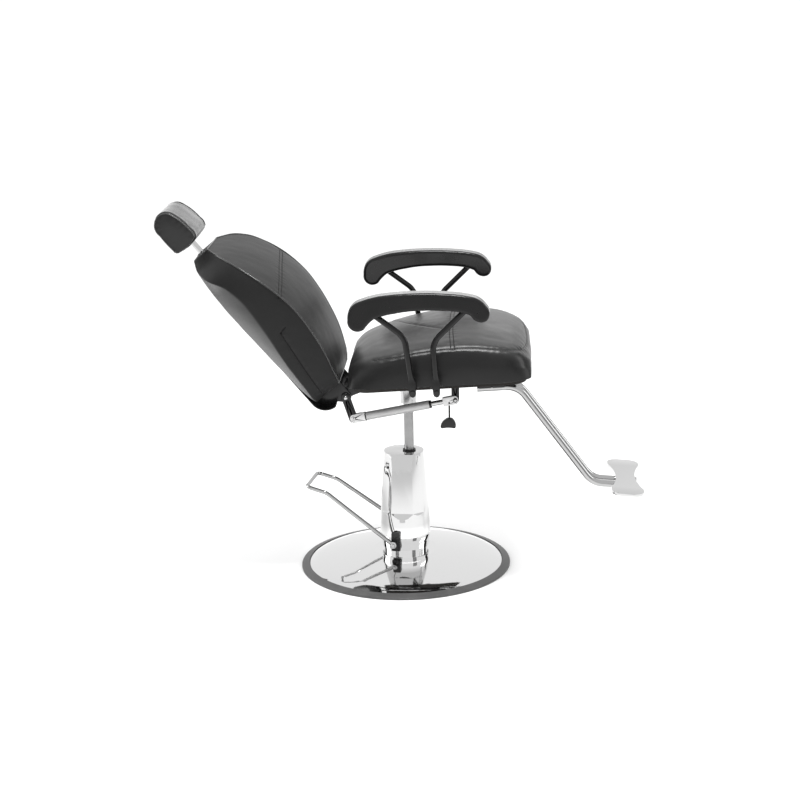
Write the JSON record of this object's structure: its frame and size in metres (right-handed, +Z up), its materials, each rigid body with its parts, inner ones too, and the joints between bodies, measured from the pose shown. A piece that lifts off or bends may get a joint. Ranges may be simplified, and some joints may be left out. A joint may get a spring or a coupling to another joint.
{
  "type": "reclining salon chair",
  "caption": "Reclining hairdressing chair with padded seat, back and headrest, curved armrests and footrest on a foot-pumped hydraulic column with a round base.",
  "frame": {"origin": "centre of the round base on the floor", "axes": "+X towards the chair's front and footrest, +Y towards the sitter's left, +Z up"},
  "size_m": [1.2886, 0.617, 1.0073],
  "materials": {
    "chrome": "polished",
    "edge_rubber": "satin",
    "steel": "satin",
    "casting": "matte",
    "black_steel": "satin",
    "grey_steel": "satin",
    "fork_steel": "satin",
    "black_plastic": "satin",
    "arm_urethane": "satin",
    "upholstery": "satin",
    "board": "matte"
  },
  "bodies": {
    "base": {"base_disc": "chrome", "base_edge_ring": "edge_rubber", "base_stiffener": "steel", "base_bolts": "steel", "pump_collar": "chrome", "pump_cover": "chrome", "cover_screws": "steel", "pump_housing": "casting", "ram_gland": "steel", "ram_wiper": "edge_rubber", "pedal_bracket": "black_steel"},
    "pedal": {"pump_pedal": "chrome", "pedal_shaft": "steel", "pedal_cam": "casting"},
    "plunger": {"pump_plunger": "steel"},
    "lift": {"ram_rod": "chrome", "ram_piston": "steel"},
    "seat": {"seat_hub": "grey_steel", "seat_mount_plate": "black_steel", "mount_bolts": "steel", "seat_rail_left": "black_steel", "seat_rail_right": "black_steel", "arm_crossbar_front": "black_steel", "arm_crossbar_rear": "black_steel", "seat_board": "board", "seat_cushion": "upholstery", "arm_pad_left": "arm_urethane", "arm_pad_right": "arm_urethane", "arm_post_front_left": "black_steel", "arm_post_front_right": "black_steel", "arm_post_rear_left": "black_steel", "arm_post_rear_right": "black_steel", "arm_bolts": "steel", "footrest_tube_left": "chrome", "footrest_tube_right": "chrome", "footrest_clamp_front": "black_steel", "footrest_clamp_rear": "black_steel", "footrest_plate": "chrome", "hinge_bracket_left": "black_steel", "hinge_bracket_right": "black_steel", "spring_bracket": "fork_steel", "pivot_pins": "steel"},
    "backrest": {"back_plate": "black_steel", "back_shell": "black_plastic", "back_cushion": "upholstery", "hinge_arm_left": "black_steel", "hinge_arm_right": "black_steel", "recline_lever": "black_steel", "spring_rear_pin": "steel", "headrest_socket": "steel"},
    "spring_cylinder": {"gas_cylinder": "grey_steel", "gas_gland": "black_plastic", "rear_clevis": "fork_steel"},
    "spring_rod": {"gas_rod": "chrome", "front_clevis": "fork_steel"},
    "release": {"release_lever": "fork_steel", "release_knob": "black_plastic"},
    "headrest": {"headrest_post": "chrome", "headrest_cushion": "upholstery"}
  },
  "joints": [
    {"name": "pedal_stroke", "type": "hinge", "parent": "base", "child": "pedal", "pos_m": [-0.01783, 0.0025, 0.08], "axis": [-0.1392, -0.9903, 0], "range_deg": [0, 20], "stiffness_Nm_per_rad": 4, "springref_deg": -34.38},
    {"name": "pump_stroke", "type": "slide", "parent": "base", "child": "plunger", "axis": [0, 0, -1], "range_m": [0, 0.008]},
    {"name": "ram_lift", "type": "slide", "parent": "base", "child": "lift", "axis": [0, 0, 1], "range_m": [-0.11, 0.02]},
    {"name": "seat_swivel", "type": "hinge", "parent": "lift", "child": "seat", "pos_m": [0.015, 0, 0.464], "axis": [0, 0, 1], "continuous": true},
    {"name": "recline", "type": "hinge", "parent": "seat", "child": "backrest", "pos_m": [-0.1495, 0, 0.4995], "axis": [0, 1, 0], "range_deg": [0, 18]},
    {"name": "cylinder_pivot", "type": "hinge", "parent": "backrest", "child": "spring_cylinder", "pos_m": [-0.13029, -0.076, 0.44002], "axis": [0, 1, 0], "range_deg": [-18, 1]},
    {"name": "rod_pivot", "type": "hinge", "parent": "seat", "child": "spring_rod", "pos_m": [0.14562, -0.076, 0.49166], "axis": [0, 1, 0], "range_deg": [-1, 1]},
    {"name": "release_pull", "type": "hinge", "parent": "spring_rod", "child": "release", "pos_m": [0.12897, -0.076, 0.48549], "axis": [0, 1, 0], "range_deg": [0, 15], "stiffness_Nm_per_rad": 0.3, "springref_deg": -5.73},
    {"name": "headrest_height", "type": "slide", "parent": "backrest", "child": "headrest", "axis": [-0.6361, 0, 0.7716], "range_m": [-0.03, 0.06]}
  ],
  "couplings": [
    {"joint": "pump_stroke", "follows": "pedal_stroke", "m_per_rad": 0.022},
    {"joint": "cylinder_pivot", "follows": "recline", "ratio": -0.997},
    {"joint": "rod_pivot", "follows": "recline", "ratio": 0.003}
  ]
}
